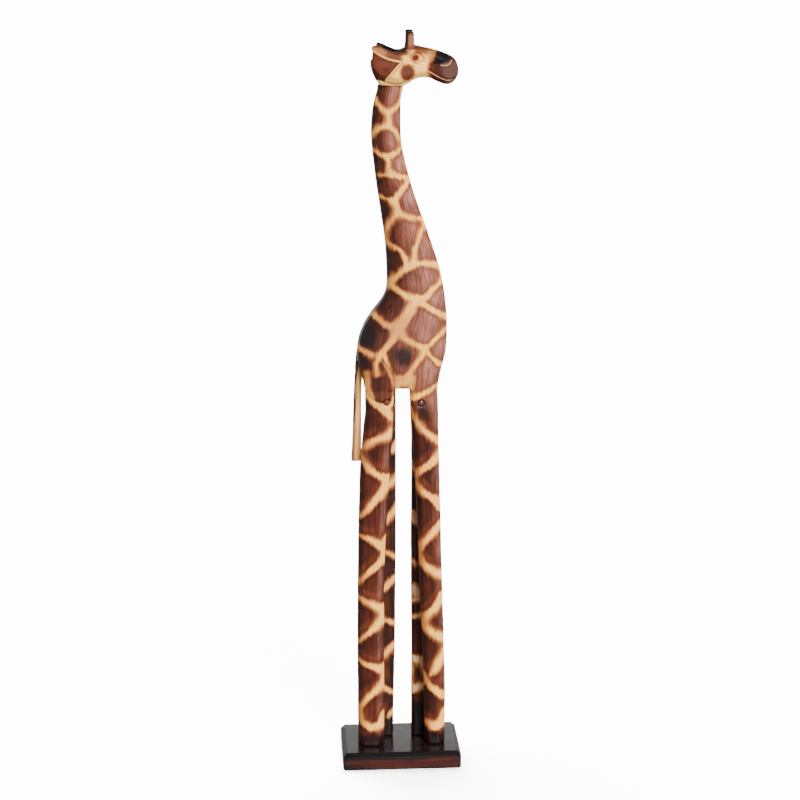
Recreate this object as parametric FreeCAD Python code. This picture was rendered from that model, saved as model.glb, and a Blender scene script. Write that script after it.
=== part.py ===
# Carved standing giraffe statue on a board, as separate wooden pieces.
# Row frame: millimetres, +Z up, origin at the centre of the board's underside.
# +X is the way the animal faces, +Y is the animal's left.
import FreeCAD, Part
import os
from FreeCAD import Vector as V

os.makedirs("parts", exist_ok=True)

# ---------------------------------------------------------------- driving dimensions
BASE_L = 163.0          # board length, along X
BASE_W = 110.0          # board width, along Y
BASE_T = 23.5           # board thickness
BASE_EDGE = 5.5         # bevel round the board's top
BASE_CORNER = 4.0       # radius of the board's upright corners
Z_HIP = 531.0           # where the legs butt under the torso
Z_NECK = 930.5          # where the head sits on the neck
TONGUE_HALF = 6.5       # half thickness of the two torso tongues between the legs
TONGUE_DROP = 43.0      # how far a tongue reaches down between the legs
REAR_TONGUE = (-34.0, -11.0)
FRONT_TONGUE = (17.5, 46.5)
PEG_R = 4.0
HIP_PEG = (-19.2, 515.0)
SHOULDER_PEG = (26.0, 514.0)
PEG_HALF = 31.2
NECK_DOWEL_R, NECK_DOWEL_LEN, NECK_DOWEL_X = 5.0, 44.0, -11.0
HORN_X, HORN_Y = 12.3, 10.5
HORN_TOP = {"right": 998.6, "left": 1000.0}
HORN_TENON_R, HORN_TENON_END = 4.0, 962.0
SCREW_R, SCREW_HEAD_R, SCREW_TOP = 2.0, 4.2, 50.0
SCREW_SEAT = 4.0        # depth of the counterbore under the board
TAIL_PIN_R, TAIL_PIN_HEAD_R = 0.9, 1.8

# sections of the torso and neck: z, back x, front x, half width,
# back bevel (x, y), front bevel (x, y)
TORSO = [
    (930.5, -28.4, 5.9, 15.5, 11.0, 7.0, 8.0, 6.5),
    (918.0, -31.7, 2.4, 16.0, 11.5, 7.5, 8.0, 6.5),
    (903.0, -35.4, 0.8, 16.5, 12.5, 8.0, 8.0, 6.5),
    (885.0, -37.5, 0.7, 17.0, 13.0, 8.5, 8.5, 7.0),
    (865.0, -37.9, 1.1, 17.2, 13.5, 8.5, 8.5, 7.0),
    (843.0, -36.0, 4.2, 17.5, 14.0, 9.0, 9.0, 7.0),
    (818.0, -33.2, 10.3, 18.0, 14.5, 9.0, 9.5, 7.5),
    (795.0, -30.0, 16.8, 18.6, 15.0, 9.5, 10.0, 8.0),
    (770.0, -26.1, 25.2, 19.8, 15.5, 10.0, 11.0, 8.5),
    (745.0, -22.4, 34.2, 21.3, 16.0, 11.0, 12.0, 9.0),
    (720.0, -19.5, 43.2, 23.4, 16.5, 12.0, 13.0, 10.0),
    (697.0, -18.2, 50.4, 25.6, 17.0, 13.0, 14.0, 11.0),
    (676.0, -17.6, 55.2, 27.6, 18.0, 14.0, 14.0, 11.5),
    (662.0, -18.8, 57.8, 28.9, 19.0, 15.0, 14.0, 12.0),
    (650.0, -24.4, 59.4, 30.0, 20.0, 16.0, 14.0, 12.0),
    (636.0, -34.6, 60.6, 31.3, 21.0, 16.5, 14.0, 12.0),
    (620.0, -45.8, 61.2, 32.4, 21.0, 16.5, 13.5, 12.0),
    (604.0, -52.8, 61.4, 33.2, 20.0, 16.0, 13.0, 12.0),
    (588.0, -56.6, 60.6, 33.6, 18.0, 15.5, 12.0, 11.0),
    (572.0, -57.0, 57.4, 33.8, 15.0, 14.0, 11.0, 10.0),
    (556.0, -53.4, 52.6, 33.5, 11.0, 11.0, 9.5, 8.0),
    (542.0, -50.0, 49.6, 33.0, 7.5, 8.0, 8.5, 7.0),
    (Z_HIP, -47.5, 48.2, 32.5, 5.5, 6.0, 8.5, 6.5),
]
# sections of each leg: z, back x, front x, inner |y|, outer |y|
LEGS = {
    "leg_rear_right": (-1, [
        (Z_HIP, -47.5, -9.0, 6.5, 32.5), (500.0, -47.6, -10.4, 6.5, 32.3), (480.0, -49.8, -11.5, 6.5, 32.1),
        (455.0, -52.3, -12.9, 6.4, 31.9), (420.0, -54.8, -14.9, 6.3, 31.6), (362.0, -56.8, -18.6, 6.1, 31.2),
        (304.0, -58.1, -21.7, 5.9, 30.9), (245.0, -58.7, -23.2, 5.7, 30.6), (163.0, -59.5, -23.2, 5.4, 30.2),
        (60.0, -59.2, -23.3, 5.1, 29.8), (BASE_T, -59.0, -23.5, 5.0, 29.6)]),
    "leg_front_right": (-1, [
        (Z_HIP, 11.0, 48.2, 6.5, 32.5), (500.0, 12.8, 49.8, 6.5, 32.0), (480.0, 14.4, 50.1, 6.5, 31.6),
        (455.0, 16.3, 50.5, 6.3, 31.2), (420.0, 18.7, 51.8, 6.0, 30.7), (362.0, 21.6, 53.4, 5.6, 30.0),
        (304.0, 23.9, 54.9, 5.2, 29.3), (245.0, 26.1, 56.9, 4.9, 28.7), (170.0, 29.6, 59.4, 4.5, 28.0),
        (95.0, 32.0, 61.6, 4.2, 27.4), (BASE_T, 33.0, 61.0, 4.0, 27.0)]),
    "leg_rear_left": (1, [
        (Z_HIP, -35.0, 1.6, 6.5, 32.5), (505.0, -34.8, 1.2, 6.5, 32.3), (480.0, -35.6, 0.6, 6.5, 32.1),
        (455.0, -36.5, -0.1, 6.4, 31.8), (387.0, -38.8, -2.6, 6.1, 31.3), (319.0, -40.2, -4.3, 5.8, 30.8),
        (249.0, -40.9, -5.7, 5.5, 30.4), (179.0, -41.1, -6.1, 5.2, 30.0), (107.0, -41.6, -7.4, 5.0, 29.6),
        (60.0, -42.0, -8.5, 5.0, 29.3), (BASE_T, -42.2, -9.2, 5.0, 29.0)]),
    "leg_front_left": (1, [
        (Z_HIP, 13.8, 48.2, 6.5, 32.5), (505.0, 14.5, 49.4, 6.5, 32.2), (480.0, 15.6, 49.8, 6.5, 32.0),
        (455.0, 16.5, 50.0, 6.3, 31.6), (387.0, 16.5, 49.6, 6.0, 31.0), (319.0, 15.9, 48.8, 5.7, 30.4),
        (249.0, 16.3, 48.0, 5.4, 29.8), (179.0, 16.9, 47.6, 5.1, 29.2), (107.0, 16.8, 47.0, 4.8, 28.6),
        (60.0, 16.7, 46.6, 4.6, 28.3), (BASE_T, 16.7, 46.4, 4.5, 28.0)]),
}
LEG_BEVEL_BACK, LEG_BEVEL_FRONT, LEG_BEVEL_Y, LEG_BEVEL_IN = 5.5, 8.5, 6.2, 3.0
# sections of the tail: z, back x, front x, half width
TAIL = [
    (586.0, -58.0, -52.0, 2.6), (575.0, -59.2, -51.0, 3.6), (560.0, -60.2, -50.5, 4.5), (545.0, -60.9, -50.3, 4.9),
    (530.0, -61.6, -51.8, 5.0), (500.0, -63.0, -51.8, 5.0), (470.0, -64.1, -52.0, 5.1), (450.0, -64.8, -52.2, 5.2),
    (438.0, -65.6, -52.5, 5.4), (428.0, -66.0, -52.9, 5.5)]
# sections of the head block, nose last: x, low z, high z, half width, top bevel (y, z), bottom bevel (y, z)
HEAD = [
    (-38.2, 956.0, 975.0, 21.0, 4.0, 4.0, 5.0, 5.0),
    (-36.8, 948.0, 980.6, 24.0, 4.0, 4.0, 7.0, 8.0),
    (-33.0, 939.5, 982.8, 25.0, 4.5, 4.5, 8.0, 11.0),
    (-28.0, 932.5, 983.8, 25.6, 5.0, 5.0, 9.0, 13.0),
    (-21.0, 928.5, 981.4, 25.8, 5.5, 5.0, 10.0, 14.0),
    (-13.0, 928.0, 977.6, 25.4, 6.0, 5.5, 10.0, 14.0),
    (-5.0, 928.0, 974.4, 24.4, 6.5, 6.0, 9.5, 13.0),
    (2.0, 928.5, 975.2, 23.2, 7.0, 6.5, 8.5, 12.0),
    (9.0, 932.6, 979.6, 22.2, 7.5, 7.0, 7.5, 10.0),
    (16.0, 937.0, 980.9, 21.2, 8.0, 8.0, 7.0, 9.0),
    (23.0, 939.8, 979.7, 19.8, 8.0, 8.0, 6.5, 8.0),
    (30.0, 940.6, 978.3, 17.8, 7.5, 8.0, 6.0, 7.0),
    (38.0, 939.4, 976.6, 16.2, 7.0, 8.0, 6.0, 7.0),
    (46.0, 935.6, 974.4, 16.0, 7.0, 8.0, 6.0, 7.0),
    (54.0, 931.8, 972.1, 16.2, 7.0, 8.0, 6.5, 8.0),
    (61.0, 930.8, 969.5, 15.6, 7.0, 8.0, 6.5, 8.0),
    (67.0, 932.8, 966.4, 13.8, 6.5, 8.0, 6.0, 8.0),
    (71.5, 936.8, 962.2, 11.2, 5.5, 7.0, 5.0, 7.0),
    (74.4, 942.0, 956.8, 7.6, 3.6, 4.0, 3.6, 4.0),
    (75.3, 945.5, 953.5, 4.6, 2.2, 2.4, 2.2, 2.4)]


# ---------------------------------------------------------------- helpers
def wire(points):
    return Part.makePolygon(points + [points[0]])


def loft(wires, ruled=False):
    s = Part.makeLoft(wires, True, ruled)
    s = s if s.ShapeType == "Solid" else Part.Solid(s.Shells[0])
    if s.Volume < 0:
        s.reverse()
    return s


def octagon(z, x0, x1, y0, y1, b):
    """b: bevels (back x, front x, y) at y0 and the same at y1."""
    (bb0, bf0, by0), (bb1, bf1, by1) = b
    return wire([V(x0 + bb0, y0, z), V(x1 - bf0, y0, z), V(x1, y0 + by0, z), V(x1, y1 - by1, z),
                 V(x1 - bf1, y1, z), V(x0 + bb1, y1, z), V(x0, y1 - by1, z), V(x0, y0 + by0, z)])


def prism(points_xz, y0, y1):
    f = Part.Face(wire([V(x, y0, z) for x, z in points_xz]))
    return f.extrude(V(0, y1 - y0, 0))


def cyl(r, length, base, direction):
    return Part.makeCylinder(r, length, V(*base), V(*direction))


def save(name, shape):
    solids = shape.Solids
    assert solids and shape.isValid(), name
    out = solids[0] if len(solids) == 1 else Part.Compound(solids)
    out.exportStep("parts/%s.step" % name)
    b = out.BoundBox
    print("%-18s solids %d volume %.1f cm3  x %.1f..%.1f y %.1f..%.1f z %.1f..%.1f" % (
        name, len(solids), out.Volume / 1000.0, b.XMin, b.XMax, b.YMin, b.YMax, b.ZMin, b.ZMax))


# ---------------------------------------------------------------- torso with neck and tongues
def torso_wire(s):
    z, x0, x1, h, bx, by, fx, fy = s
    return wire([V(x0 + bx, -h, z), V(x1 - fx, -h, z), V(x1, -h + fy, z), V(x1, h - fy, z),
                 V(x1 - fx, h, z), V(x0 + bx, h, z), V(x0, h - by, z), V(x0, -h + by, z)])


trunk = loft([torso_wire(s) for s in TORSO])
tongues = []
for lo, hi in (REAR_TONGUE, FRONT_TONGUE):
    t = Part.makeBox(hi - lo, 2 * TONGUE_HALF, TONGUE_DROP + 4.0, V(lo, -TONGUE_HALF, Z_HIP - TONGUE_DROP))
    low = [e for e in t.Edges if abs(e.BoundBox.ZMax - (Z_HIP - TONGUE_DROP)) < 0.01]
    tongues.append(t.makeChamfer(2.0, low))
torso = trunk.fuse(tongues).removeSplitter()

# ---------------------------------------------------------------- pegs, dowel
hip_peg = cyl(PEG_R, 2 * PEG_HALF, (HIP_PEG[0], -PEG_HALF, HIP_PEG[1]), (0, 1, 0))
shoulder_peg = cyl(PEG_R, 2 * PEG_HALF, (SHOULDER_PEG[0], -PEG_HALF, SHOULDER_PEG[1]), (0, 1, 0))
pegs = [hip_peg, shoulder_peg]
hip_peg, shoulder_peg = (p.makeChamfer(0.6, [e for e in p.Edges if e.Closed]) for p in pegs)
peg_ways = [cyl(PEG_R, 90.0, (x, -45.0, z), (0, 1, 0)) for x, z in (HIP_PEG, SHOULDER_PEG)]
neck_way = cyl(NECK_DOWEL_R, NECK_DOWEL_LEN, (NECK_DOWEL_X, 0, Z_NECK - NECK_DOWEL_LEN / 2), (0, 0, 1))
neck_dowel = neck_way.makeChamfer(1.0, [e for e in neck_way.Edges if e.Closed])
torso = torso.cut(peg_ways).cut(neck_way)

# ---------------------------------------------------------------- legs
legs = {}
screws, ways = [], []
for name, (side, sections) in LEGS.items():
    rows = []
    for z, x0, x1, inner, outer in sections:
        a, b = (-outer, -inner) if side < 0 else (inner, outer)
        out_b = (LEG_BEVEL_BACK, LEG_BEVEL_FRONT, LEG_BEVEL_Y)
        in_b = (LEG_BEVEL_IN, LEG_BEVEL_IN, LEG_BEVEL_IN)
        rows.append(octagon(z, x0, x1, a, b, (out_b, in_b) if side < 0 else (in_b, out_b)))
    leg = loft(rows, True).cut(tongues).cut(peg_ways)
    z, x0, x1, inner, outer = sections[-1]
    sx, sy = (x0 + x1) / 2, side * (inner + outer) / 2
    # countersunk wood screw from under the board, with a cross recess
    shank = cyl(SCREW_R, SCREW_TOP - SCREW_SEAT - 2.2 - 3.0, (sx, sy, SCREW_SEAT + 2.2), (0, 0, 1))
    tip = Part.makeCone(SCREW_R, 0.4, 3.0, V(sx, sy, SCREW_TOP - 3.0), V(0, 0, 1))
    head = Part.makeCone(SCREW_HEAD_R, SCREW_R, 2.2, V(sx, sy, SCREW_SEAT), V(0, 0, 1))
    screw = shank.fuse([tip, head]).removeSplitter()
    ways.append(screw.copy())
    ways.append(cyl(SCREW_HEAD_R + 0.4, SCREW_SEAT, (sx, sy, 0), (0, 0, 1)))
    for w, d in ((4.4, 1.0), (1.0, 4.4)):
        screw = screw.cut(Part.makeBox(w, d, 1.3, V(sx - w / 2, sy - d / 2, SCREW_SEAT)))
    screws.append(screw)
    legs[name] = leg.cut(ways)
for name, leg in legs.items():
    save(name, leg)

# ---------------------------------------------------------------- tail and its pins
tail = loft([octagon(z, x0, x1, -h, h, ((1.8, 1.8, 1.6), (1.8, 1.8, 1.6))) for z, x0, x1, h in TAIL], True)
tail = tail.cut(trunk)
tail = max(tail.Solids, key=lambda s: s.Volume)
pins = []
for z, back in ((566.0, -59.2), (551.0, -60.0)):
    pin = cyl(TAIL_PIN_R, 17.0, (back, 0, z), (1, 0, 0)).fuse(cyl(TAIL_PIN_HEAD_R, 1.0, (back, 0, z), (1, 0, 0)))
    pins.append(pin.removeSplitter())
tail = tail.cut(pins + [cyl(TAIL_PIN_HEAD_R, 6.0, (back - 6.0, 0, z), (1, 0, 0)) for z, back in ((566.0, -59.2), (551.0, -60.0))])
torso = torso.cut(pins)
save("tail", max(tail.Solids, key=lambda s: s.Volume))
save("tail_pins", Part.Compound(pins))

# ---------------------------------------------------------------- head with carved ears
def head_wire(s):
    x, z0, z1, h, ty, tz, by, bz = s
    return wire([V(x, -h, z0 + bz), V(x, -h + by, z0), V(x, h - by, z0), V(x, h, z0 + bz),
                 V(x, h, z1 - tz), V(x, h - ty, z1), V(x, -h + ty, z1), V(x, -h, z1 - tz)])


head = loft([head_wire(s) for s in HEAD], True)
# the right ear's top edge is lower than the left one's
head = head.cut(prism([(-45, 981.0), (-38, 981.2), (-32, 981.6), (-19, 976.8), (-9, 973.3), (-2, 972.8), (-2, 995), (-45, 995)], -40, 0))
# the left ear ends further forward
head = head.cut(prism([(-45, 952), (-33, 966), (-29.0, 983), (-28.5, 995), (-45, 995)], 6.0, 40))
# the wedge cut between the two ears
notch = Part.Face(wire([V(-46, -13.5, 0), V(-20, -11.5, 0), (V(-6, -5.0, 0)), V(-3, 0, 0), V(-6, 5.0, 0), V(-20, 11.5, 0), V(-46, 13.5, 0)])).extrude(V(0, 0, 1010))
keep_low = prism([(-50, -5), (10, -5), (10, 977.0), (-4, 972.0), (-20, 966.0), (-50, 958.0)], -60, 60)
head = head.cut(notch.cut(keep_low))
# seat on the neck
head = head.cut(Part.makeBox(200, 100, 60, V(-60, -50, Z_NECK - 60)))

horns = {}
for side, sign in (("right", -1), ("left", 1)):
    top = HORN_TOP[side]
    prof = [V(0, 0, HORN_TENON_END), V(HORN_TENON_R - 0.6, 0, HORN_TENON_END), V(HORN_TENON_R, 0, HORN_TENON_END + 0.8), V(HORN_TENON_R, 0, 972.0),
            V(6.6, 0, 972.0), V(6.5, 0, 977.0), V(5.9, 0, 981.0), V(5.4, 0, 986.0), V(5.25, 0, top - 2.0), V(4.4, 0, top - 0.5), V(3.0, 0, top), V(0, 0, top)]
    horn = Part.Face(wire(prof)).revolve(V(0, 0, 0), V(0, 0, 1), 360)
    horn.translate(V(HORN_X, sign * HORN_Y, 0))
    horn = horn.Solids[0]
    if horn.Volume < 0:
        horn.reverse()
    horns[side] = horn
head = head.cut([horns["right"], horns["left"], neck_way])
head = max(head.Solids, key=lambda s: s.Volume)
save("head", head)
save("horn_right", horns["right"])
save("horn_left", horns["left"])
save("neck_dowel", neck_dowel)
save("hip_peg", hip_peg)
save("shoulder_peg", shoulder_peg)
save("torso_and_neck", max(torso.Solids, key=lambda s: s.Volume))

# ---------------------------------------------------------------- board and screws
board = Part.makeBox(BASE_L, BASE_W, BASE_T, V(-BASE_L / 2, -BASE_W / 2, 0))
rounded = board.makeFillet(BASE_CORNER, [e for e in board.Edges if e.BoundBox.ZLength > 1.0])
board = board.makeChamfer(BASE_EDGE, [e for e in board.Edges if e.BoundBox.ZMin > BASE_T - 0.01])
board = board.makeChamfer(1.0, [e for e in board.Edges if e.BoundBox.ZMax < 0.01])
board = board.common(rounded)
board = board.cut(ways)
save("base_board", board)
save("base_screws", Part.Compound(screws))
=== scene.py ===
import math

import bmesh
import bpy
import numpy as np
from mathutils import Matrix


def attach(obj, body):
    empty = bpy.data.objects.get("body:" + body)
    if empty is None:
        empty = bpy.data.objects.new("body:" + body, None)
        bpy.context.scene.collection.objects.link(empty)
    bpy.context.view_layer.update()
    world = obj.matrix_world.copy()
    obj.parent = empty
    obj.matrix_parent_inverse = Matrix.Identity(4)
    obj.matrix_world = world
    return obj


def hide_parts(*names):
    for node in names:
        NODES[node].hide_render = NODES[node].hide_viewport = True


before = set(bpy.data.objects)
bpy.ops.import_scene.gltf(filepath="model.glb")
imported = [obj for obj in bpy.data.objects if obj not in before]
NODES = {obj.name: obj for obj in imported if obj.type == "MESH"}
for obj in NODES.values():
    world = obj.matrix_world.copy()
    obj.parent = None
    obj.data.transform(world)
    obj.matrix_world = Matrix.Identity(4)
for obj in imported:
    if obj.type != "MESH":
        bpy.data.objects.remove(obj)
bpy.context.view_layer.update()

import openvdb as vdb
from mathutils import Vector

rng = np.random.default_rng(11)

# Carved and burnt line work, in the row's x, z millimetres: each line is [half width, [[x, z], ...]]
NET = {
    "body": [
        [2.48, [[-32.2, 914.9], [-30.1, 907.9], [-24.3, 901.2], [-16.3, 896.3], [-6.2, 901.7], [-0.4, 908.3]]],
        [0.93, [[1.5, 930.4], [-0.1, 921.3], [-1.0, 912.3]]],
        [1.55, [[-16.3, 896.3], [-15.1, 886.6], [-16.4, 879.9]]],
        [2.17, [[-16.4, 879.9], [-27.7, 876.3], [-35.4, 870.6], [-39.1, 864.8]]],
        [2.17, [[-16.4, 879.9], [-6.3, 871.9], [-0.5, 861.5], [3.2, 852.9]]],
        [2.79, [[-37.0, 849.5], [-27.8, 842.7], [-17.1, 839.5], [-4.8, 845.0], [3.8, 852.3]]],
        [1.7, [[-17.1, 839.5], [-15.9, 833.1], [-16.5, 823.9], [-12.2, 817.7]]],
        [0.46, [[-29.5, 815.1], [-15.6, 816.5]]],
        [2.48, [[-12.2, 817.7], [-3.3, 814.5], [10.0, 812.3]]],
        [1.39, [[-30.2, 789.2], [-20.3, 785.4], [-11.7, 782.5]]],
        [3.4, [[-9.5, 782.8], [-3.9, 789.9], [3.8, 799.4], [12.5, 809.8]]],
        [3.1, [[-9.5, 782.8], [-5.6, 774.5], [-3.4, 766.1]]],
        [2.17, [[-3.4, 766.1], [-9.6, 760.6], [-16.8, 749.5], [-21.2, 738.5]]],
        [2.79, [[-3.4, 766.1], [10.5, 761.0], [28.5, 758.4]]],
        [2.48, [[-21.2, 738.5], [-18.8, 728.3], [-9.8, 722.9], [1.6, 716.6], [5.6, 707.9]]],
        [3.4, [[29.7, 749.4], [23.5, 734.0], [18.7, 720.1], [15.9, 701.0]]],
        [1.55, [[27.6, 758.4], [33.8, 747.8], [44.6, 716.7]]],
        [3.71, [[-17.9, 671.6], [-5.4, 683.8], [5.9, 695.2], [17.1, 700.0], [30.5, 701.4], [49.2, 697.5]]],
        [2.17, [[5.6, 707.9], [7.8, 698.6]]],
        [3.4, [[-17.9, 674.1], [-8.0, 668.3], [4.4, 659.8], [19.4, 653.4], [32.5, 657.3], [41.9, 667.1], [54.4, 676.9]]],
        [2.48, [[49.2, 697.5], [52.6, 686.3], [53.8, 676.9]]],
        [4.64, [[19.4, 653.4], [13.7, 641.0]]],
        [7.12, [[12.4, 638.8], [4.3, 627.6], [-3.9, 618.9]]],
        [3.4, [[19.4, 653.4], [35.6, 643.8], [58.1, 629.4]]],
        [2.48, [[-36.9, 633.2], [-21.4, 621.0], [-5.8, 617.1]]],
        [3.71, [[-5.8, 617.1], [-9.6, 602.6], [-21.5, 589.4], [-28.4, 579.8]]],
        [2.79, [[-59.0, 589.9], [-49.7, 584.6], [-38.8, 581.3]]],
        [1.86, [[-28.4, 579.8], [-34.1, 568.7], [-32.2, 555.7]]],
        [2.48, [[-3.3, 615.1], [4.2, 602.4], [16.7, 595.8], [28.6, 589.3]]],
        [3.1, [[58.1, 613.0], [44.9, 601.2], [31.2, 588.6], [27.1, 579.0], [15.5, 562.4], [7.4, 550.2], [-4.3, 543.2]]],
        [2.79, [[31.2, 588.6], [39.4, 576.9], [50.7, 567.1]]],
        [2.17, [[-21.5, 577.2], [-15.9, 560.3], [-9.6, 545.6], [-7.1, 532.5]]],
        [2.48, [[-46.0, 555.9], [-46.1, 538.0], [-43.0, 524.2], [-33.6, 513.3], [-20.0, 507.6]]],
        [2.17, [[-20.0, 507.6], [-10.2, 516.2], [-7.1, 532.5]]],
        [4.64, [[-3.3, 546.5], [3.6, 543.7], [12.4, 549.5]]],
        [2.48, [[13.1, 546.9], [11.9, 527.3]]],
        [3.1, [[49.7, 539.8], [35.8, 530.8], [22.6, 523.8], [13.8, 520.1]]],
    ],
    "leg_rear_right": [
        [2.27, [[-43.4, 523.4], [-36.8, 514.8], [-23.6, 505.3], [-8.6, 492.0]]],
        [3.25, [[-7.0, 478.9], [-18.6, 469.4], [-37.9, 464.2], [-51.3, 453.0]]],
        [0.98, [[-51.9, 461.0], [-53.0, 439.2]]],
        [2.93, [[-55.3, 440.3], [-42.1, 423.4], [-28.7, 414.0], [-17.0, 408.9], [-7.0, 406.7]]],
        [2.93, [[-18.0, 405.5], [-28.8, 387.5], [-42.2, 371.6], [-56.4, 357.0]]],
        [2.6, [[-57.2, 331.2], [-42.4, 326.3], [-29.6, 317.5], [-20.2, 308.4]]],
        [2.93, [[-20.2, 301.3], [-34.1, 287.3], [-47.6, 275.1], [-58.2, 263.9]]],
        [2.93, [[-59.0, 243.1], [-48.8, 237.1], [-35.9, 230.3], [-23.7, 223.5]]],
        [2.93, [[-23.7, 214.1], [-35.3, 199.8], [-49.0, 188.5], [-58.6, 178.6]]],
        [2.6, [[-58.7, 152.3], [-49.2, 145.5], [-36.2, 140.8], [-22.5, 136.0]]],
        [2.93, [[-22.5, 118.4], [-35.6, 106.2], [-49.4, 93.3], [-59.1, 79.4]]],
        [3.9, [[-59.1, 78.7], [-55.4, 61.9], [-41.6, 51.5], [-27.8, 55.6], [-22.6, 69.6]]],
        [2.6, [[-20.5, 324.5], [-21.5, 296.0]]],
        [2.27, [[-19.4, 409.0], [-19.4, 398.5]]],
        [2.27, [[-23.0, 226.0], [-23.7, 207.9]]],
        [2.6, [[-23.1, 139.7], [-23.9, 112.9]]],
    ],
    "leg_front_right": [
        [2.27, [[11.3, 507.1], [17.3, 492.2], [28.7, 477.5], [50.1, 460.5]]],
        [3.58, [[52.2, 442.3], [35.6, 427.3], [18.9, 415.7]]],
        [3.25, [[17.6, 401.0], [31.7, 388.8], [45.2, 379.4], [53.4, 367.9]]],
        [3.25, [[54.2, 344.5], [39.4, 329.9], [23.9, 311.7]]],
        [3.25, [[22.6, 303.5], [28.7, 289.1], [42.3, 279.1], [56.0, 270.2]]],
        [3.58, [[57.5, 241.6], [46.0, 225.6], [31.0, 210.7]]],
        [3.25, [[27.7, 200.6], [42.8, 188.6], [58.6, 179.4]]],
        [3.25, [[61.5, 161.0], [50.6, 142.2]]],
        [2.27, [[50.6, 142.2], [45.8, 134.2]]],
        [1.3, [[45.8, 134.2], [40.3, 127.7]]],
        [2.93, [[29.3, 128.0], [39.7, 109.2], [59.8, 94.6]]],
        [3.9, [[62.0, 71.5], [54.5, 53.7], [45.5, 50.3]]],
        [2.6, [[45.5, 51.0], [35.7, 56.5]]],
        [1.62, [[31.0, 210.7], [29.0, 198.7]]],
        [1.62, [[23.9, 312.4], [22.6, 301.8]]],
        [1.95, [[18.9, 415.7], [17.6, 399.3]]],
    ],
    "leg_rear_left": [
        [3.25, [[-0.3, 457.3], [-9.8, 439.9]]],
        [3.25, [[-3.0, 404.6], [-13.2, 390.6]]],
        [3.58, [[-3.0, 360.2], [-20.1, 337.4]]],
        [2.93, [[-20.9, 296.1], [-3.1, 286.0]]],
        [3.58, [[-4.8, 259.6], [-23.8, 240.0]]],
        [2.6, [[-21.1, 196.1], [-6.6, 191.4]]],
        [3.58, [[-6.6, 160.8], [-24.0, 142.8]]],
        [2.93, [[-24.1, 97.0], [-8.4, 88.4]]],
        [4.23, [[-8.4, 60.3], [-24.2, 40.0]]],
    ],
    "leg_front_left": [
        [7.8, [[15.4, 349.3], [22.2, 340.2]]],
        [7.15, [[15.5, 242.9], [23.8, 235.5]]],
        [2.93, [[18.3, 224.7], [29.7, 227.3]]],
        [3.25, [[15.9, 199.8], [31.5, 203.1]]],
        [5.85, [[15.6, 140.1], [31.7, 134.5]]],
        [5.2, [[15.7, 92.4], [31.8, 98.7]]],
        [2.6, [[16.4, 128.2], [16.4, 91.7]]],
        [2.93, [[15.4, 282.8], [21.6, 277.3]]],
        [3.25, [[13.9, 422.0], [27.5, 400.6]]],
        [3.25, [[13.8, 467.6], [27.3, 481.4]]],
        [1.95, [[30.3, 136.0], [33.8, 113.6]]],
    ],
    "spots": [[-45.8, 605.6, 15.1, 22.7, 1.0], [2.0, 578.8, 15.7, 14.2, 1.0], [-47.3, 568.9, 8.2, 11.7, 0.7]],
    "head": {
        "ear1": [[-39.1, 977.3], [-31.0, 971.2], [-22.9, 966.6], [-16.0, 963.7], [-7.9, 961.6], [0.8, 960.0]],
        "ear2": [[1.0, 959.8], [-4.3, 954.9], [-10.1, 948.1], [-14.7, 942.9], [-19.1, 938.1]],
        "jaw": [[-28.3, 938.4], [-23.1, 936.4], [-19.0, 934.9], [-12.1, 933.1], [-5.1, 932.3], [0.8, 933.1], [6.6, 936.3]],
        "eye_c": [18.5, 966.1],
        "eye_mid": [21.4, 965.3],
        "eye_low": [[11.6, 966.7], [13.3, 962.7], [19.1, 958.6], [24.3, 959.8], [30.1, 963.7]],
        "eye_up": [[11.6, 966.7], [15.0, 970.3], [19.6, 972.2], [25.4, 970.5], [30.1, 963.7]],
        "nostril": [[51.3, 956.3], [58.1, 955.8], [62.7, 958.3], [65.7, 962.6]],
        "mouth": [[35.3, 949.9], [42.9, 945.2], [51.1, 940.6], [59.3, 937.6], [71.0, 938.1]],
        "muzzle_edge": [[45.5, 983.3], [44.4, 974.2], [41.3, 962.7], [37.1, 957.5], [35.8, 950.1], [39.9, 940.8], [42.8, 931.6]],
        "cheek_c": [8.1, 947.7],
        "strip_mid": [-27.5, 976.9],
        "horn_l": [6.3, 988.9],
        "horn_r": [17.4, 988.8],
        "gold": [31.5, 974.9],
        "fore": [19.5, 978.8],
    },
    "haunch": [[-25.9, 575.7], [-20.1, 567.1], [-14.4, 558.6], [-10.3, 548.3], [-9.1, 536.4], [-9.9, 524.5]],
    "haunch_low": [[-43.4, 525.9], [-37.6, 519.8], [-28.5, 515.9], [-20.2, 516.1], [-13.6, 520.3], [-9.9, 525.3]],
    "shoulder": [[12.6, 524.5], [11.2, 539.5], [13.8, 570.7]],
    "tailroot": [[-56.5, 573.8], [-52.6, 549.9], [-49.3, 540.3]],
}


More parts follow.
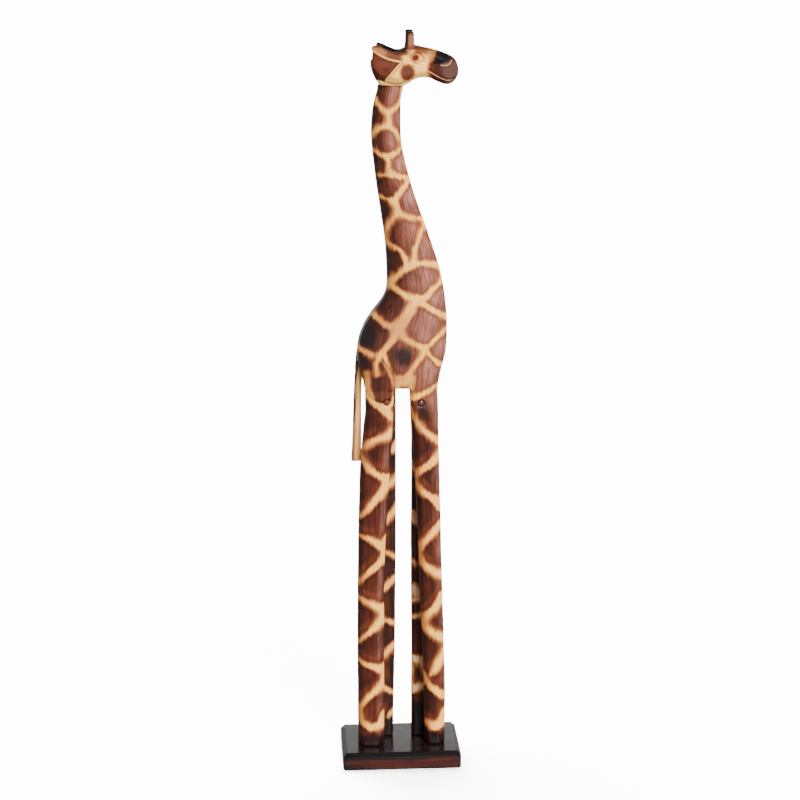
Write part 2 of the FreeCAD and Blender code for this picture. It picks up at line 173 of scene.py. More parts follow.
# ------------------------------------------------------------------ distance-field helpers
class Grid:
    """A box of cells in millimetres, with fields as dense arrays."""

    def __init__(self, lo, hi, h):
        self.h = h
        self.lo = np.array(lo, float)
        self.n = (np.ceil((np.array(hi, float) - self.lo) / h)).astype(int) + 1
        ax = [(self.lo[i] + np.arange(self.n[i]) * h).astype(np.float32) for i in range(3)]
        self.x, self.y, self.z = ax[0][:, None, None], ax[1][None, :, None], ax[2][None, None, :]

    def cad(self, name, half=8.0):
        me = NODES[name].data
        me.calc_loop_triangles()
        v = np.empty(len(me.vertices) * 3, np.float32)
        me.vertices.foreach_get("co", v)
        v = v.reshape(-1, 3).astype(np.float64) * 1000.0 - self.lo
        t = np.empty(len(me.loop_triangles) * 3, np.int32)
        me.loop_triangles.foreach_get("vertices", t)
        key, inv = np.unique(np.round(v, 4), axis=0, return_inverse=True)
        t = inv.reshape(-1)[t].reshape(-1, 3)
        t = t[(t[:, 0] != t[:, 1]) & (t[:, 1] != t[:, 2]) & (t[:, 0] != t[:, 2])]
        g = vdb.FloatGrid.createLevelSetFromPolygons(
            key.astype(np.float32), triangles=t.astype(np.uint32),
            transform=vdb.createLinearTransform(self.h), halfWidth=half)
        out = np.full(tuple(self.n), half * self.h, np.float32)
        g.copyToArray(out)
        return out

    def mesh(self, field, name):
        g = vdb.FloatGrid(float(6 * self.h))
        g.copyFromArray(np.clip(field, -6 * self.h, 6 * self.h).astype(np.float32))
        pts, quads = g.convertToQuads()
        pts = pts.astype(np.float64) * self.h + self.lo
        a, b, c = pts[quads[:, 0]], pts[quads[:, 1]], pts[quads[:, 2]]
        d = pts[quads[:, 3]]
        vol = np.einsum("ij,ij->i", a, np.cross(b, c)).sum() + np.einsum("ij,ij->i", a, np.cross(c, d)).sum()
        if vol < 0:
            quads = quads[:, ::-1]
        return mesh_object(name, pts / 1000.0, quads)


def mesh_object(name, pts, quads):
    me = bpy.data.meshes.new(name)
    me.vertices.add(len(pts))
    me.vertices.foreach_set("co", np.ascontiguousarray(pts, np.float32).ravel())
    me.loops.add(quads.size)
    me.loops.foreach_set("vertex_index", np.ascontiguousarray(quads, np.int32).ravel())
    me.polygons.add(len(quads))
    me.polygons.foreach_set("loop_start", np.arange(0, quads.size, 4, dtype=np.int32))
    me.polygons.foreach_set("loop_total", np.full(len(quads), 4, np.int32))
    me.update(calc_edges=True)
    me.polygons.foreach_set("use_smooth", np.ones(len(quads), bool))
    ob = bpy.data.objects.new(name, me)
    bpy.context.scene.collection.objects.link(ob)
    return ob


def blur(f, s):
    """Gaussian blur, s in cells."""
    r = max(1, int(math.ceil(2.4 * s)))
    k = np.exp(-0.5 * (np.arange(-r, r + 1) / s) ** 2)
    k /= k.sum()
    for ax in range(3):
        p = np.pad(f, [(r, r) if i == ax else (0, 0) for i in range(3)], mode="edge")
        out = np.zeros_like(f)
        n = f.shape[ax]
        for i, w in enumerate(k):
            sl = [slice(None)] * 3
            sl[ax] = slice(i, i + n)
            out += np.float32(w) * p[tuple(sl)]
        f = out
    return f


def smooth(a, b, t):
    u = np.clip((t - a) / (b - a), 0.0, 1.0)
    return u * u * (3 - 2 * u)


def line_dist(px, pz, pts):
    """Distance in the x, z plane from points to one open polyline."""
    best = np.full(px.shape, 1e9, np.float32)
    for (x0, z0), (x1, z1) in zip(pts[:-1], pts[1:]):
        dx, dz = x1 - x0, z1 - z0
        t = np.clip(((px - x0) * dx + (pz - z0) * dz) / (dx * dx + dz * dz + 1e-9), 0, 1)
        best = np.minimum(best, np.hypot(px - x0 - t * dx, pz - z0 - t * dz))
    return best


def value_noise(shape, cell, seed):
    """Soft random field, one value about every cell cells, between -1 and 1."""
    r = np.random.default_rng(seed)
    f = r.uniform(-1, 1, [int(n / c) + 3 for n, c in zip(shape, cell)]).astype(np.float32)
    for ax in range(3):
        n = shape[ax]
        t = np.arange(n) / cell[ax] + 0.5
        i = t.astype(int)
        u = (t - i).astype(np.float32)
        u = u * u * (3 - 2 * u)
        sh = [1, 1, 1]
        sh[ax] = n
        u = u.reshape(sh)
        f = np.take(f, i, axis=ax) * (1 - u) + np.take(f, i + 1, axis=ax) * u
    return f


def coords(ob):
    v = np.empty(len(ob.data.vertices) * 3, np.float32)
    ob.data.vertices.foreach_get("co", v)
    return v.reshape(-1, 3).astype(np.float64) * 1000.0


def attr(ob, name, values, kind="FLOAT"):
    a = ob.data.attributes.get(name) or ob.data.attributes.new(name, kind, "POINT")
    values = np.ascontiguousarray(values, np.float32)
    a.data.foreach_set({"FLOAT": "value", "FLOAT_VECTOR": "vector", "FLOAT_COLOR": "color"}[kind], values.ravel())


# ------------------------------------------------------------------ materials
def lin(r, g, b):
    f = lambda c: c / 12.92 if c <= 0.04045 else ((c + 0.055) / 1.055) ** 2.4
    return (f(r / 255), f(g / 255), f(b / 255), 1.0)


class Mat:
    def __init__(self, name, roughness=0.45, coat=0.0, coat_rough=0.2, specular=0.5, metallic=0.0):
        self.m = bpy.data.materials.new(name)
        self.m.use_nodes = True
        self.t = self.m.node_tree
        self.bsdf = self.t.nodes["Principled BSDF"]
        i = self.bsdf.inputs
        i["Roughness"].default_value = roughness
        i["Coat Weight"].default_value = coat
        i["Coat Roughness"].default_value = coat_rough
        i["Specular IOR Level"].default_value = specular
        i["Metallic"].default_value = metallic

    def node(self, kind, **inputs):
        n = self.t.nodes.new(kind)
        for k, v in inputs.items():
            k = k.replace("_", " ")
            s = n.inputs[int(k[1:])] if k[0] == "i" and k[1:].isdigit() else n.inputs[k]
            if isinstance(v, bpy.types.NodeSocket):
                self.t.links.new(v, s)
            else:
                s.default_value = v
        return n

    def math(self, op, a, b=0.0, c=None, clamp=False):
        n = self.t.nodes.new("ShaderNodeMath")
        n.operation = op
        n.use_clamp = clamp
        for i, v in enumerate([a, b] + ([c] if c is not None else [])):
            if isinstance(v, bpy.types.NodeSocket):
                self.t.links.new(v, n.inputs[i])
            else:
                n.inputs[i].default_value = v
        return n.outputs[0]

    def attr(self, name, out="Fac"):
        n = self.t.nodes.new("ShaderNodeAttribute")
        n.attribute_name = name
        return n.outputs[out]

    def noise(self, vec, scale, detail=3.0, rough=0.55, stretch=(1, 1, 1), offset=(0, 0, 0)):
        mp = self.t.nodes.new("ShaderNodeMapping")
        self.t.links.new(vec, mp.inputs[0])
        mp.inputs["Scale"].default_value = stretch
        mp.inputs["Location"].default_value = offset
        n = self.t.nodes.new("ShaderNodeTexNoise")
        self.t.links.new(mp.outputs[0], n.inputs["Vector"])
        n.inputs["Scale"].default_value = scale
        n.inputs["Detail"].default_value = detail
        n.inputs["Roughness"].default_value = rough
        return n.outputs["Fac"]

    def ramp(self, fac, stops, interp="LINEAR"):
        n = self.t.nodes.new("ShaderNodeValToRGB")
        n.color_ramp.interpolation = interp
        e = n.color_ramp.elements
        while len(e) < len(stops):
            e.new(0.5)
        for el, (p, c) in zip(e, stops):
            el.position = p
            el.color = c
        self.t.links.new(fac, n.inputs[0])
        return n.outputs[0]

    def mix(self, fac, a, b, blend="MIX"):
        n = self.t.nodes.new("ShaderNodeMix")
        n.data_type = "RGBA"
        n.blend_type = blend
        n.clamp_factor = True
        for s, v in ((n.inputs[0], fac), (n.inputs[6], a), (n.inputs[7], b)):
            if isinstance(v, bpy.types.NodeSocket):
                self.t.links.new(v, s)
            else:
                s.default_value = v
        return n.outputs[2]

    def out(self, color, bump=None, distance=0.0002, strength=0.5, rough=None):
        self.t.links.new(color, self.bsdf.inputs["Base Color"])
        if bump is not None:
            b = self.t.nodes.new("ShaderNodeBump")
            b.inputs["Strength"].default_value = strength
            b.inputs["Distance"].default_value = distance
            self.t.links.new(bump, b.inputs["Height"])
            self.t.links.new(b.outputs[0], self.bsdf.inputs["Normal"])
            self.t.links.new(b.outputs[0], self.bsdf.inputs["Coat Normal"])
        if rough is not None:
            self.t.links.new(rough, self.bsdf.inputs["Roughness"])
        return self.m


K_LIGHT, VEIL = 2.5, 0.022


def tone(r, g, b):
    """Reflectance that reads as this brightness under the studio light."""
    return tuple(min(0.96, max(0.0015, (c - VEIL) / K_LIGHT)) for c in (r, g, b)) + (1.0,)


CREAM, CREAM2 = tone(2.60, 1.20, 0.26), tone(1.85, 0.74, 0.115)
GOLD, AMBER, RUST = tone(1.15, 0.46, 0.125), tone(0.68, 0.24, 0.085), tone(0.37, 0.110, 0.054)
BLUEBLACK = tone(0.050, 0.036, 0.037)


def body_material():
    m = Mat("burnt_wood", roughness=0.40, coat=0.08, coat_rough=0.22, specular=0.22)
    g = m.attr("grain", "Vector")
    fib = m.noise(g, 1.0, 5.0, 0.62, (1.5, 1.5, 0.045))
    fib2 = m.noise(g, 1.0, 4.0, 0.58, (0.42, 0.42, 0.012), (13, 5, 2))
    blot = m.noise(g, 1.0, 3.0, 0.5, (0.085, 0.085, 0.045), (3, 7, 1))
    patch = m.noise(g, 1.0, 3.0, 0.55, (0.06, 0.06, 0.032), (23, 17, 5))
    width = m.noise(g, 1.0, 2.0, 0.5, (0.050, 0.050, 0.026), (41, 9, 15))
    feather = m.noise(g, 1.0, 3.0, 0.55, (0.30, 0.30, 0.034), (1, 2, 9))
    d = m.attr("line")
    t = m.math("ADD", d, m.math("MULTIPLY", m.math("SUBTRACT", feather, 0.5), 5.6))
    t = m.math("ADD", t, m.math("MULTIPLY", m.math("SUBTRACT", blot, 0.5), 5.0))
    # the scorched edge is crisp in some places and a wide golden smear in others
    soft = m.math("ADD", 0.42, m.math("MULTIPLY", m.math("MULTIPLY", m.math("SUBTRACT", width, 0.42), 5.0, clamp=True), 0.58))
    fac = m.math("DIVIDE", m.math("ADD", m.math("MULTIPLY", t, soft), 2.4), 16.0, clamp=True)

    def step(a, b):
        return m.math("MULTIPLY", m.math("SUBTRACT", fac, a), 1.0 / (b - a), clamp=True)

    line_col, patch_col = m.attr("lcol", "Color"), m.attr("pcol", "Color")
    deep = step(0.24, 0.40)
    dark_edge = m.mix(1.0, patch_col, (0.78, 0.72, 0.70, 1), "MULTIPLY")
    col = m.mix(step(0.07, 0.17), line_col, GOLD)
    col = m.mix(step(0.14, 0.215), col, AMBER)
    col = m.mix(step(0.19, 0.26), col, RUST)
    col = m.mix(step(0.235, 0.33), col, dark_edge)
    col = m.mix(step(0.36, 0.62), col, patch_col)
    # fibres: dark streaks and lighter, cooler ones in the patches, faint in the lines
    streak = m.ramp(fib2, [(0.30, (1.42, 1.50, 1.56, 1)), (0.43, (1.12, 1.13, 1.15, 1)), (0.50, (0.96, 0.94, 0.93, 1)), (0.60, (0.56, 0.52, 0.50, 1)), (0.72, (0.40, 0.36, 0.36, 1))])
    col = m.mix(m.math("MULTIPLY", deep, 0.9), col, streak, "MULTIPLY")
    fine = m.ramp(fib, [(0.30, (1.22, 1.24, 1.26, 1)), (0.50, (1, 1, 1, 1)), (0.70, (0.66, 0.60, 0.58, 1))])
    col = m.mix(m.math("ADD", 0.22, m.math("MULTIPLY", deep, 0.6)), col, fine, "MULTIPLY")
    thread = m.ramp(fib2, [(0.44, (1, 1, 1, 1)), (0.62, (0.80, 0.66, 0.46, 1))])
    col = m.mix(m.math("MULTIPLY", m.math("SUBTRACT", 1.0, deep), 0.55), col, thread, "MULTIPLY")
    honey = m.ramp(width, [(0.46, (1, 1, 1, 1)), (0.62, (0.88, 0.80, 0.62, 1))])
    col = m.mix(m.math("MULTIPLY", m.math("SUBTRACT", 1.0, deep), 0.60), col, honey, "MULTIPLY")
    mott = m.ramp(patch, [(0.34, (1.30, 1.30, 1.28, 1)), (0.50, (1, 1, 1, 1)), (0.64, (0.66, 0.62, 0.62, 1))])
    col = m.mix(m.math("MULTIPLY", deep, 0.85), col, mott, "MULTIPLY")
    burn = m.attr("burn")
    bt = m.math("ADD", burn, m.math("MULTIPLY", m.math("SUBTRACT", feather, 0.5), 1.2))
    bt = m.math("MULTIPLY", m.math("MULTIPLY", m.math("SUBTRACT", bt, 0.28), 2.0, clamp=True), m.math("MULTIPLY", t, 0.35, clamp=True))
    col = m.mix(m.math("MULTIPLY", bt, 0.94), col, BLUEBLACK)
    hoof = m.attr("hoof")
    ht = m.math("ADD", hoof, m.math("MULTIPLY", m.math("SUBTRACT", feather, 0.5), 14.0))
    ht = m.math("DIVIDE", ht, 9.0, clamp=True)
    col = m.mix(ht, col, m.ramp(fib2, [(0.35, tone(0.052, 0.0265, 0.0235)), (0.65, tone(0.029, 0.0230, 0.0224))]))
    # dark marks at the front peg, and painted shade along the carved creases
    nick_and_crease_shade_fac = m.attr("nick_and_crease_shade")
    col = m.mix(nick_and_crease_shade_fac, col, tone(0.045, 0.03, 0.027))
    # painted shade on the inner faces of the far legs
    col = m.mix(1.0, col, m.attr("far_leg_painted_shade", "Color"), "MULTIPLY")
    h = m.math("ADD", m.math("MULTIPLY", fib, 0.6), m.math("MULTIPLY", fib2, 0.8))
    return m.out(col, h, distance=0.00040, strength=0.6)


def painted_material(name, roughness=0.42, coat=0.08, specular=0.3, along=0, amount=0.75):
    """Wood whose colour is laid out in the vertex colour 'tint', with fibres along one axis."""
    m = Mat(name, roughness=roughness, coat=coat, coat_rough=0.2, specular=specular)
    g = m.attr("grain", "Vector")
    st = [1.6, 1.6, 1.6]
    st[along] = 0.09
    fib = m.noise(g, 1.0, 5.0, 0.6, tuple(st))
    st2 = [0.5, 0.5, 0.5]
    st2[along] = 0.04
    fib2 = m.noise(g, 1.0, 3.0, 0.5, tuple(st2), (5, 1, 3))
    col = m.attr("tint", "Color")
    shade = m.ramp(fib, [(0.28, (1.08, 1.06, 1.04, 1)), (0.52, (1, 1, 1, 1)), (0.75, (0.72, 0.64, 0.58, 1))])
    col = m.mix(amount, col, shade, "MULTIPLY")
    shade2 = m.ramp(fib2, [(0.35, (1.05, 1.04, 1.03, 1)), (0.52, (1, 1, 1, 1)), (0.72, (0.76, 0.68, 0.64, 1))])
    col = m.mix(amount, col, shade2, "MULTIPLY")
    h = m.math("ADD", m.math("MULTIPLY", fib, 0.5), m.math("MULTIPLY", fib2, 0.8))
    return m.out(col, h, distance=0.00025, strength=0.5)


def base_material():
    m = Mat("board_lacquer", roughness=0.22, coat=0.30, coat_rough=0.08, specular=0.5)
    tc = m.t.nodes.new("ShaderNodeTexCoord").outputs["Object"]
    fib = m.noise(tc, 1000.0, 5.0, 0.62, (0.02, 0.9, 0.9))
    fib2 = m.noise(tc, 1000.0, 4.0, 0.55, (0.007, 0.16, 0.26), (0.3, 0.1, 0.7))
    big = m.noise(tc, 1000.0, 3.0, 0.5, (0.016, 0.05, 0.06), (0.9, 0.4, 0.2))
    side = m.ramp(fib2, [(0.34, tone(0.135, 0.043, 0.031)), (0.47, tone(0.098, 0.036, 0.0285)), (0.56, tone(0.072, 0.030, 0.027)), (0.68, tone(0.040, 0.025, 0.024))])
    side = m.mix(1.0, side, m.ramp(big, [(0.38, (1.30, 1.20, 1.15, 1)), (0.48, (0.92, 0.85, 0.82, 1)), (0.58, (0.28, 0.28, 0.32, 1))]), "MULTIPLY")
    top = m.ramp(fib2, [(0.34, tone(0.055, 0.040, 0.040)), (0.50, tone(0.040, 0.031, 0.032)), (0.66, tone(0.028, 0.025, 0.025))])
    col = m.mix(m.attr("topness"), side, top)
    col = m.mix(0.6, col, m.ramp(fib, [(0.30, (1.15, 1.12, 1.10, 1)), (0.52, (1, 1, 1, 1)), (0.72, (0.55, 0.5, 0.48, 1))]), "MULTIPLY")
    edge = m.math("ADD", m.attr("edge"), m.math("MULTIPLY", m.math("SUBTRACT", fib2, 0.5), 0.7))
    col = m.mix(m.math("MULTIPLY", m.math("SUBTRACT", edge, 0.25), 1.8, clamp=True), col, (0.0016, 0.0014, 0.0014, 1))
    rough = m.ramp(big, [(0.35, (0.13, 0.13, 0.13, 1)), (0.65, (0.26, 0.26, 0.26, 1))])
    return m.out(col, m.math("ADD", fib, fib2), distance=0.00009, strength=0.35, rough=rough)


def plain_material(name, rgb, **kw):
    m = Mat(name, **kw)
    m.bsdf.inputs["Base Color"].default_value = lin(*rgb)
    return m.m


# ------------------------------------------------------------------ torso and legs as one carved body
LEGS = ("leg_rear_right", "leg_front_right", "leg_rear_left", "leg_front_left")
SEAM = 531.0
BELLY = 533.6
G = Grid((-72, -42, 17), (74, 42, 938), 1.2)
trunk = G.cad("torso_and_neck")
legs = {n: G.cad(n) for n in LEGS}
F = np.maximum(trunk, BELLY - G.z)
for n in LEGS:
    me = NODES[n]
    v = coords(me)
    top = v[v[:, 2] > SEAM - 0.3]
    (x0, y0), (x1, y1) = top[:, :2].min(0), top[:, :2].max(0)
    cx, cy, rx, ry = (x0 + x1) / 2, (y0 + y1) / 2, (x1 - x0) / 2, (y1 - y0) / 2
    stub = np.maximum(np.maximum(np.abs(G.x - cx) - rx, np.abs(G.y - cy) - ry), np.maximum(trunk, 526.0 - G.z))
    F = np.minimum(F, np.minimum(stub, legs[n]))
    del stub
kt = int((926.5 - G.lo[2]) / G.h)
F[:, :, kt:] = F[:, :, kt:kt + 1]
fine = blur(F, 1.15)
soft = blur(fine[:, :, int((540 - G.lo[2]) / G.h):], 3.3)
k0 = int((540 - G.lo[2]) / G.h)
w = smooth(548, 600, G.z[:, :, k0:]).astype(np.float32)
fine[:, :, k0:] = fine[:, :, k0:] * (1 - w) + soft * w
F = fine
del soft, fine
F += 0.24 * value_noise(F.shape, (9, 9, 26), 3) + 0.14 * value_noise(F.shape, (4, 4, 11), 4)
# carved creases: round the haunch, in front of the shoulder, and beside the tail root
gx, gz = np.meshgrid(G.x.ravel(), G.z.ravel(), indexing="ij")
for pts, depth, width in ((NET["haunch"], 1.3, 1.5), (NET["haunch_low"], 1.2, 1.5), (NET["shoulder"], 0.8, 1.6), (NET["tailroot"], 0.8, 1.6)):
    d2 = line_dist(gx, gz, pts)
    F += (depth * np.exp(-(d2 / width) ** 2))[:, None, :] * smooth(14, 20, np.abs(G.y))
# small nicks a knife or a knot left
for x, z, sx, sz, depth, side in ((-33.5, 333.5, 4.5, 1.5, 0.9, -1), (-35.5, 329.5, 3.0, 1.1, 0.6, -1), (43.0, 319.5, 1.8, 1.3, 0.8, -1), (54.0, 276.0, 1.3, 1.3, 0.7, -1),
                                  (34.5, 659.0, 7.5, 1.0, 0.5, -1), (39.0, 655.5, 5.0, 0.9, 0.5, -1), (-30.0, 402.0, 3.2, 1.2, 0.6, 1), (28.0, 610.0, 5.5, 1.0, 0.5, 1)):
    d2 = np.sqrt(((gx - x) / sx) ** 2 + ((gz - z) / sz) ** 2)
    F += (depth * np.exp(-d2 ** 2))[:, None, :] * (smooth(8, 14, side * G.y))
for x, z, r in ((-19.2, 515.0, 3.95), (26.0, 514.0, 4.2)):
    F = np.maximum(F, np.where(np.abs(G.y) > 24, r - np.hypot(G.x - x, G.z - z), -50).astype(np.float32))


def cut_at_seam(ob, keep_above):
    bm = bmesh.new()
    bm.from_mesh(ob.data)
    bmesh.ops.bisect_plane(bm, geom=bm.verts[:] + bm.edges[:] + bm.faces[:], dist=1e-7, plane_co=(0, 0, SEAM / 1000), plane_no=(0, 0, 1),
                           clear_inner=keep_above, clear_outer=not keep_above)
    border = [e for e in bm.edges if e.is_boundary]
    if border:
        r = bmesh.ops.holes_fill(bm, edges=border, sides=0)
        for f in r["faces"]:
            f.smooth = False
        for e in border:
            e.smooth = False
    bmesh.ops.triangulate(bm, faces=[f for f in bm.faces if len(f.verts) > 4])
    bm.to_mesh(ob.data)
    bm.free()


def join_boxes(ob, boxes):
    bm = bmesh.new()
    bm.from_mesh(ob.data)
    for lo, hi in boxes:
        r = bmesh.ops.create_cube(bm, size=1.0)
        for v in r["verts"]:
            v.co = Vector([(lo[i] + (v.co[i] + 0.5) * (hi[i] - lo[i])) / 1000 for i in range(3)])
    bm.to_mesh(ob.data)
    bm.free()


torso = G.mesh(np.maximum(np.maximum(F, (SEAM - 6) - G.z), G.z - 930.5), "torso_visual")
cut_at_seam(torso, True)
pieces = {"torso_and_neck": torso}
for n in LEGS:
    sy = -1 if n.endswith("right") else 1
    sx = -1 if "rear" in n else 1
    terr = np.maximum(np.maximum(2.0 - sy * G.y, 5.0 - sx * G.x), G.z - (SEAM + 9))
    near = np.maximum(F, terr)
    leg = G.mesh(near, n + "_visual")
    cut_at_seam(leg, False)
    pieces[n] = leg
join_boxes(torso, [((-34, -6.3, 489), (-11, 6.3, 531.4)), ((17.5, -6.3, 489), (46.5, 6.3, 531.4))])


# ------------------------------------------------------------------ burnt pattern on the body
def net_dist(x, z, lines, grow=0.92):
    total = np.full(x.shape, 1e-12)
    for hw, pts in lines:
        xs, zs = [p[0] for p in pts], [p[1] for p in pts]
        m = (x > min(xs) - 40) & (x < max(xs) + 40) & (z > min(zs) - 40) & (z < max(zs) + 40)
        if m.any():
            total[m] += np.exp(-(line_dist(x[m], z[m], pts) - grow * hw) / WEB)
    return -WEB * np.log(total)


WEB = 2.3
NEAR = [[hw * (0.84 if min(q[1] for q in p) > 690 else 1.0), p] for hw, p in NET["body"]] + [[hw * 1.28, p] for hw, p in NET["leg_rear_right"]] + [[hw * 1.40, p] for hw, p in NET["leg_front_right"]]
ZC = np.array([23, 450, 531, 600, 669, 722, 775, 827, 879, 930.5])
XC = np.array([0, 0, 0, 3, 19.5, 11.6, -1.8, -13.2, -18.5, -11.2])


def spread(x, z):
    """Rearmost and foremost place of a piece at each height."""
    k = ((z - 10) / 8).astype(int)
    n = k.max() + 1
    lo, hi = np.full(n, 1e9), np.full(n, -1e9)
    np.minimum.at(lo, k, x)
    np.maximum.at(hi, k, x)
    ok = hi > lo
    return (14.0 + 8 * np.arange(n))[ok], lo[ok], hi[ok]


def across(x, z, table):
    """-1 at the rear edge, 1 at the front edge."""
    lo, hi = np.interp(z, table[0], table[1]), np.interp(z, table[0], table[2])
    return np.clip(2 * (x - lo) / (hi - lo) - 1, -1, 1)


def blend(c, to, w):
    w = np.clip(w, 0, 1)[:, None]
    return c * (1 - w) + np.array(to[:3])[None, :] * w


def over(u, stops):
    """Colour along a table of [place, colour]."""
    return np.stack([np.interp(u, [p for p, q in stops], [q[i] for p, q in stops]) for i in range(3)], 1)


tv = coords(torso)
tv = tv[tv[:, 2] > SEAM + 1]
TRUNK = spread(tv[:, 0], tv[:, 2])


def paint_body(ob, leg=None):
    v = coords(ob)
    x, y, z = v.T
    far = smooth(-12, 20, y)
    zs = z + 17.0 * far
    xs = x + 2.5 * far * np.sin(z / 37.0)
    is_leg = leg != "torso_and_neck"
    ub = across(x, z, TRUNK)
    legness = smooth(531, 497, z) if is_leg else np.zeros(len(v))
    ul = across(x, z, spread(x, z))
    u = ub * (1 - legness) + ul * legness
    d = net_dist(xs, zs, NEAR)
    below = net_dist(xs, zs - 8.0, NEAR)
    inner = np.ones(len(v))
    if leg in ("leg_rear_left", "leg_front_left"):
        own = net_dist(x, z + 0.35 * (y - 6.0), NET[leg])
        inner = 1 - np.maximum(smooth(480, 512, z), smooth(17, 25, y))
        d = own * inner + d * (1 - inner)
    d = d - legness * 1.5 * u * {"leg_rear_right": 1.5, "leg_front_right": 1.15}.get(leg, 0.3)
    attr(ob, "line", np.clip(d, -8, 30))
    # patches: painted shade, dark along the rear edge, and a painted sheen, lighter and pinker, towards the front
    body = over(ub, [(-1.0, tone(0.075, 0.036, 0.031)), (-0.72, tone(0.120, 0.046, 0.035)), (-0.35, tone(0.185, 0.060, 0.040)), (-0.05, tone(0.40, 0.140, 0.088)),
                    (0.28, tone(0.66, 0.240, 0.160)), (0.60, tone(0.80, 0.320, 0.220)), (0.88, tone(0.72, 0.29, 0.19)), (1.0, tone(0.42, 0.17, 0.12))])
    # legs: painted shade towards the rear edge and a painted highlight band near the front edge; the inner faces of the
    # two far legs are darker as painted shade
    if leg == "leg_front_right":
        limb = over(ul, [(-1.0, tone(0.083, 0.0345, 0.0275)), (-0.4, tone(0.105, 0.0375, 0.029)), (0.15, tone(0.140, 0.045, 0.032)), (0.5, tone(0.27, 0.097, 0.063)), (0.8, tone(0.47, 0.165, 0.110)), (1.0, tone(0.30, 0.12, 0.085))])
    elif leg == "leg_rear_right":
        limb = over(ul, [(-1.0, tone(0.077, 0.0315, 0.0265)), (-0.6, tone(0.116, 0.039, 0.0285)), (0.1, tone(0.160, 0.046, 0.0305)), (0.42, tone(0.19, 0.058, 0.037)), (0.56, tone(0.34, 0.140, 0.103)), (0.78, tone(0.31, 0.125, 0.093)), (0.9, tone(0.14, 0.054, 0.040)), (1.0, tone(0.10, 0.045, 0.037))])
    elif leg == "leg_rear_left":
        limb = over(ul, [(-1.0, tone(0.08, 0.035, 0.03)), (0.0, tone(0.125, 0.050, 0.036)), (1.0, tone(0.10, 0.045, 0.034))])
    elif leg == "leg_front_left":
        limb = over(ul, [(-1.0, tone(0.120, 0.038, 0.028)), (0.0, tone(0.21, 0.056, 0.034)), (1.0, tone(0.26, 0.068, 0.038))])
    else:
        limb = body
    # outer faces of the far legs: the same painted shade to the rear and painted sheen to the front as on the near legs
    if leg in ("leg_rear_left", "leg_front_left"):
        outer = over(ul, [(-1.0, tone(0.11, 0.045, 0.034)), (0.0, tone(0.22, 0.075, 0.048)), (0.7, tone(0.42, 0.15, 0.098)), (1.0, tone(0.30, 0.11, 0.08))])
        limb = limb * inner[:, None] + outer * (1 - inner)[:, None]
    c = body * (1 - legness)[:, None] + limb * legness[:, None]
    r = np.random.default_rng(3)
    # every patch has its own depth of colour
    wave = sum(np.sin(x * a + z * b + y * 0.03 + p) for a, b, p in zip(r.uniform(-0.07, 0.07, 6), r.uniform(0.03, 0.11, 6), r.uniform(0, 6.3, 6))) / 2.6
    c = c * (1 + 0.16 * np.clip(wave, -1.2, 1.2))[:, None]
    glow = smooth(7.0, 1.0, below) * smooth(0, 3, d - 0.6 * below)
    c = blend(c, tone(0.31, 0.088, 0.044), glow * 0.6 * (0.35 + 0.65 * legness) * (1.0 if leg != "leg_front_left" else 0.2))
    attr(ob, "pcol", np.concatenate([c, np.ones((len(c), 1))], 1), "FLOAT_COLOR")
    # lines: cream towards the front, scorched golden towards the rear and where lines meet low on the flank
    lc = np.tile(np.array(CREAM[:3])[None, :], (len(v), 1))
    lc = blend(lc, CREAM2, smooth(0.0, -0.7, u) * (0.4 + 0.6 * legness))
    lc = blend(lc, GOLD, smooth(-0.25, -0.9, u) * (0.30 + 0.55 * legness))
    # two broad golden areas low on the flank
    for cx, cz, rx, rz in ((-10, 620, 35, 28), (-15, 550, 30, 16)):
        lc = blend(lc, GOLD, 0.85 * np.exp(-(((xs - cx) / rx) ** 2 + ((zs - cz) / rz) ** 2) ** 1.5))
    # painted shade: the lines on the inner face of the far front leg are a dimmer, cooler cream
    if leg == "leg_front_left":
        lc = blend(lc, tone(1.9, 1.05, 0.66), 0.9 * legness * inner)
    # painted shade: the inner faces of the two far legs are multiplied darker, fading out towards the body
    shade = {"leg_front_left": (0.92, 0.95, 0.97), "leg_rear_left": (0.84, 0.84, 0.88)}.get(leg, (1, 1, 1))
    shade = 1 - (1 - np.array(shade))[None, :] * (smooth(531, 500, z) * inner)[:, None] if is_leg else np.ones((len(v), 3))
    attr(ob, "far_leg_painted_shade", np.concatenate([shade, np.ones((len(v), 1))], 1), "FLOAT_COLOR")
    attr(ob, "lcol", np.concatenate([lc, np.ones((len(lc), 1))], 1), "FLOAT_COLOR")
    burn = np.zeros(len(v))
    for cx, cz, rx, rz, s in NET["spots"]:
        if s >= 0.6:
            burn = np.maximum(burn, s * np.exp(-(((xs - cx) / rx) ** 2 + ((zs - cz) / rz) ** 2) * 0.8))
    attr(ob, "burn", burn)
    top = {"leg_rear_right": 45.0, "leg_front_right": 46.0, "leg_rear_left": 59.0, "leg_front_left": 78.0}.get(leg, -50)
    attr(ob, "hoof", np.clip(top - z, -30, 30))
    nick_and_crease_shade = np.zeros(len(v))
    for px, pz, k in ((-19.2, 515.0, 0.10), (26.0, 514.0, 0.85), (27.0, 504.0, 0.75), (26.5, 496.0, 0.45)):
        q = np.hypot(x - px, (z - pz) * 0.8)
        nick_and_crease_shade = np.maximum(nick_and_crease_shade, k * (1 - smooth(3.5, 6.5, q)) * (np.abs(y) > 24))
